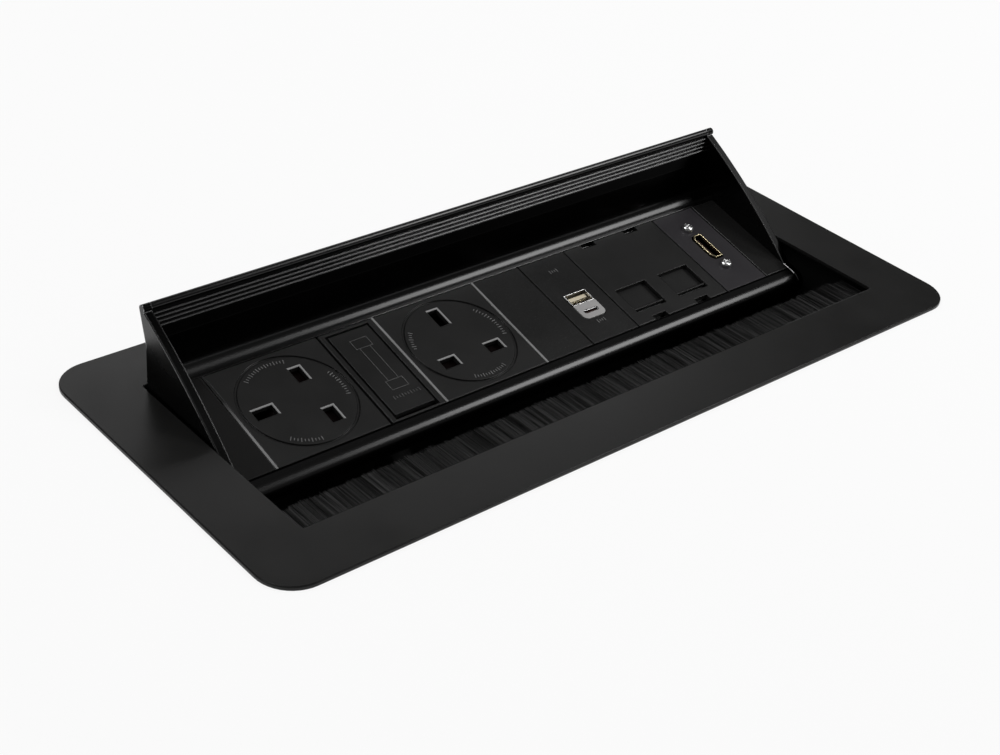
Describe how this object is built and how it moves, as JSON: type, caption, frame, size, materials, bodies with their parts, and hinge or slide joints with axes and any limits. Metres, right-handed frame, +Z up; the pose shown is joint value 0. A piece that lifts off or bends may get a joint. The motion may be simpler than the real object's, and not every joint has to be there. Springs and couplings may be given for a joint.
{
  "type": "in-desk power module",
  "caption": "In-desk power module: a turning aluminium tray with mains sockets, fuse drawer, charging, data and video ports in a flanged housing with a brush strip.",
  "frame": {"origin": "centre of the flange's opening, on the flange's underside, which rests on the desk top", "axes": "+X along the row of modules, from the fuse end to the video end; +Y to the back, where the lid stands; +Z up, out of the desk"},
  "size_m": [0.342, 0.1496, 0.1028],
  "materials": {
    "powder_coat": "dark charcoal powder coat, satin",
    "housing_coat": "black powder coat",
    "anodised": "black anodised, fine drawing lines, satin",
    "module_black": "black moulding, fine satin grain",
    "body_black": "black moulding, matt",
    "shutter_brown": "dark brown moulding",
    "divider": "light grey strip, smooth",
    "ceramic": "white ceramic barrel with metal caps",
    "cream": "cream moulding",
    "port_silver": "silver white moulding",
    "port_metal": "nickel plated sheet",
    "port_gold": "gold plated sheet",
    "brass": "plain brass",
    "zinc": "zinc plated",
    "steel": "ground steel",
    "black_screw": "blackened steel",
    "nylon": "black nylon",
    "rubber": "black rubber, matt",
    "bristle": "dark grey nylon bristles"
  },
  "bodies": {
    "housing": {"flange_plate": "powder_coat", "flange_nuts": "zinc", "housing_shell": "housing_coat", "earth_stud": "brass", "brush_holder": "zinc", "brush_bristles": "bristle", "pivot_bushes": "nylon", "bracket_screws": "zinc"},
    "tray": {"tray_profile": "anodised", "left_end_plate": "anodised", "right_end_plate": "anodised", "end_plate_screws": "black_screw", "pivot_pins": "steel", "stop_pins": "steel", "gland_body": "nylon", "gland_dome_nut": "nylon", "gland_lock_nut": "nylon", "lead_grommet": "rubber", "left_filler": "module_black", "right_filler": "module_black", "divider_strips": "divider", "left_socket_face": "module_black", "left_socket_body": "body_black", "left_socket_contacts": "brass", "right_socket_face": "module_black", "right_socket_body": "body_black", "right_socket_contacts": "brass", "fuse_frame": "module_black", "fuse_holder": "body_black", "fuse_clips": "brass", "blank_plate": "module_black", "charge_plate": "module_black", "charge_bezel": "port_silver", "charger_box": "body_black", "wide_port_shell": "port_metal", "wide_port_tongue": "cream", "wide_port_contacts": "port_gold", "narrow_port_shell": "port_metal", "narrow_port_tongue": "body_black", "data_plate": "module_black", "data_rear_frame": "body_black", "data_jacks": "body_black", "video_plate": "module_black", "video_body": "body_black", "video_shell": "port_gold", "video_tongue": "body_black", "video_screws": "zinc"},
    "left_bracket": {"left_desk_bracket": "zinc"},
    "right_bracket": {"right_desk_bracket": "zinc"},
    "left_socket_shutter": {"left_socket_shutter": "shutter_brown"},
    "right_socket_shutter": {"right_socket_shutter": "shutter_brown"},
    "fuse_drawer": {"fuse_drawer": "module_black", "cartridge_fuse": "ceramic"},
    "left_data_shutter": {"left_data_shutter": "module_black"},
    "right_data_shutter": {"right_data_shutter": "module_black"}
  },
  "joints": [
    {"name": "tray_turn", "type": "hinge", "parent": "housing", "child": "tray", "pos_m": [0, 0.0215, -0.0248], "axis": [1, 0, 0], "range_deg": [0, 90]},
    {"name": "left_bracket_slide", "type": "slide", "parent": "housing", "child": "left_bracket", "axis": [0, 0, 1], "range_m": [-0.016, 0.01]},
    {"name": "right_bracket_slide", "type": "slide", "parent": "housing", "child": "right_bracket", "axis": [0, 0, 1], "range_m": [-0.016, 0.01]},
    {"name": "left_socket_shutter_slide", "type": "slide", "parent": "tray", "child": "left_socket_shutter", "axis": [1, 0, 0], "range_m": [0, 0.0062], "stiffness_N_per_m": 100},
    {"name": "right_socket_shutter_slide", "type": "slide", "parent": "tray", "child": "right_socket_shutter", "axis": [0, -0.9724, -0.2334], "range_m": [0, 0.0062], "stiffness_N_per_m": 100},
    {"name": "fuse_drawer_slide", "type": "slide", "parent": "tray", "child": "fuse_drawer", "axis": [0, -0.2334, 0.9724], "range_m": [0, 0.02]},
    {"name": "left_data_shutter_slide", "type": "slide", "parent": "tray", "child": "left_data_shutter", "axis": [0, 0.9724, 0.2334], "range_m": [0, 0.0117], "stiffness_N_per_m": 40},
    {"name": "right_data_shutter_slide", "type": "slide", "parent": "tray", "child": "right_data_shutter", "axis": [0, 0.9724, 0.2334], "range_m": [0, 0.0117], "stiffness_N_per_m": 40}
  ]
}
